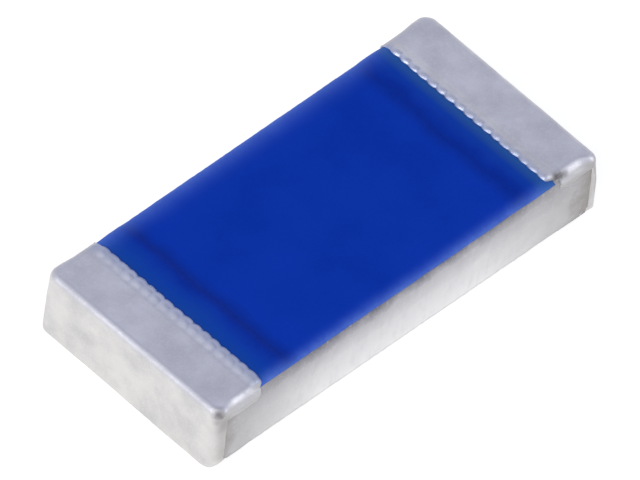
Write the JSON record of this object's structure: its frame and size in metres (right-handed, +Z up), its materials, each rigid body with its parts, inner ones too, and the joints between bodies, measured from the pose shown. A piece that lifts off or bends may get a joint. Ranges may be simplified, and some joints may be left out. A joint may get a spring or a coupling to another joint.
{
  "type": "smd chip resistor",
  "caption": "Flat surface-mount chip resistor: white ceramic chip with a blue coated top and matt tin terminals wrapped round both ends, soldered flat onto a circuit board.",
  "frame": {"origin": "middle of the solder plane, under the centre of the chip", "axes": "+X along the length, +Y across the width, +Z up from the solder plane to the coated top"},
  "size_m": [0.0032, 0.0016, 0.0006],
  "materials": {
    "alumina": "snapped, bare white alumina",
    "blue_resin": "smooth satin blue resin",
    "tin": "matt tin plating",
    "nickel": "matt nickel plating",
    "silver": "fired silver",
    "edge_film": "conductive film",
    "element": "fired resistive glaze",
    "glass": "fired glass"
  },
  "bodies": {
    "root": {"ceramic_substrate": "alumina", "top_electrode_left": "silver", "top_electrode_right": "silver", "back_electrode_left": "silver", "back_electrode_right": "silver", "resistive_film": "element", "glass_coat": "glass", "overcoat": "blue_resin", "edge_film_left": "edge_film", "edge_film_right": "edge_film", "nickel_barrier_left": "nickel", "nickel_barrier_right": "nickel", "tin_plating_left": "tin", "tin_plating_right": "tin"}
  },
  "joints": []
}
